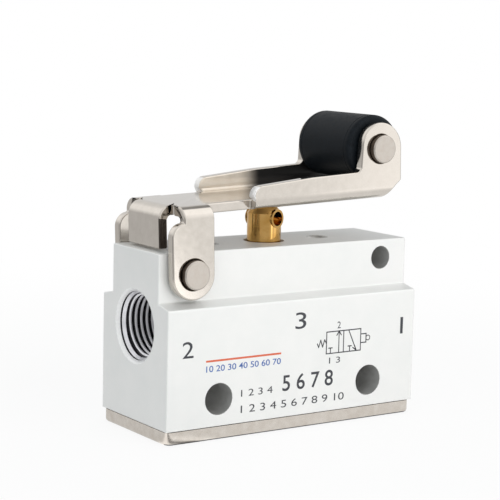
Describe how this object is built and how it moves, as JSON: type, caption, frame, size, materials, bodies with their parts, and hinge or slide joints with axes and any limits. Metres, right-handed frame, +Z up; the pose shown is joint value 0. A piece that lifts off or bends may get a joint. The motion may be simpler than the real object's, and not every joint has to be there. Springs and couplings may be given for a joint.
{
  "type": "pneumatic roller lever valve",
  "caption": "Compact mechanically operated poppet valve: aluminium body with end ports, bottom plate, brass plunger and a pressed roller lever.",
  "frame": {"origin": "under the middle of the bottom plate, on the surface that the valve stands on", "axes": "+X along the body from the outlet port to the supply port, +Y across the body along the lever's pivot pin, +Z up towards the lever"},
  "size_m": [0.0432, 0.018, 0.0448],
  "materials": {
    "anodised_aluminium": "fine matt clear-anodised",
    "nickel_plated_steel": "bright nickel plate over pressed steel",
    "pin_steel": "turned and plated",
    "screw_steel": "plated",
    "spring_steel": "drawn wire",
    "plunger_brass": "bright turned",
    "inner_brass": "turned",
    "roller_plastic": "satin moulded",
    "seal_rubber": "matt moulded"
  },
  "bodies": {
    "valve": {"valve_body": "anodised_aluminium", "bottom_plate": "nickel_plated_steel", "cover_screw_1": "screw_steel", "cover_screw_2": "screw_steel", "cover_screw_3": "screw_steel", "cover_screw_4": "screw_steel", "chamber_seal_ring": "seal_rubber", "seat_seal_ring": "seal_rubber", "guide_seal_ring": "seal_rubber", "spring_cup": "inner_brass", "seat_insert": "inner_brass", "plunger_guide": "inner_brass", "pivot_pin": "pin_steel"},
    "lever_arm": {"lever": "nickel_plated_steel", "roller_pin": "pin_steel"},
    "roller_wheel": {"roller": "roller_plastic"},
    "plunger_stem": {"plunger": "plunger_brass", "plunger_clip": "spring_steel", "plunger_seal_ring": "seal_rubber", "plunger_spring": "spring_steel"},
    "poppet_valve": {"poppet": "inner_brass", "poppet_disc": "seal_rubber", "poppet_spring": "spring_steel"}
  },
  "joints": [
    {"name": "lever_pivot", "type": "hinge", "parent": "valve", "child": "lever_arm", "pos_m": [-0.01695, 0, 0.02345], "axis": [0, 1, 0], "range_deg": [0, 7], "stiffness_Nm_per_rad": 0.05, "springref_deg": -20.05},
    {"name": "roller_spin", "type": "hinge", "parent": "lever_arm", "child": "roller_wheel", "pos_m": [0.01499, 0, 0.04], "axis": [0, 1, 0], "continuous": true},
    {"name": "plunger_slide", "type": "slide", "parent": "valve", "child": "plunger_stem", "axis": [0, 0, -1], "range_m": [0, 0.0022], "deforming": ["plunger_spring"]},
    {"name": "poppet_slide", "type": "slide", "parent": "valve", "child": "poppet_valve", "axis": [0, 0, -1], "range_m": [0, 0.0015], "deforming": ["poppet_spring"]}
  ],
  "couplings": [
    {"joint": "plunger_slide", "follows": "lever_pivot", "m_per_rad": 0.01695},
    {"joint": "poppet_slide", "follows": "lever_pivot", "m_per_rad": 0.0112}
  ]
}
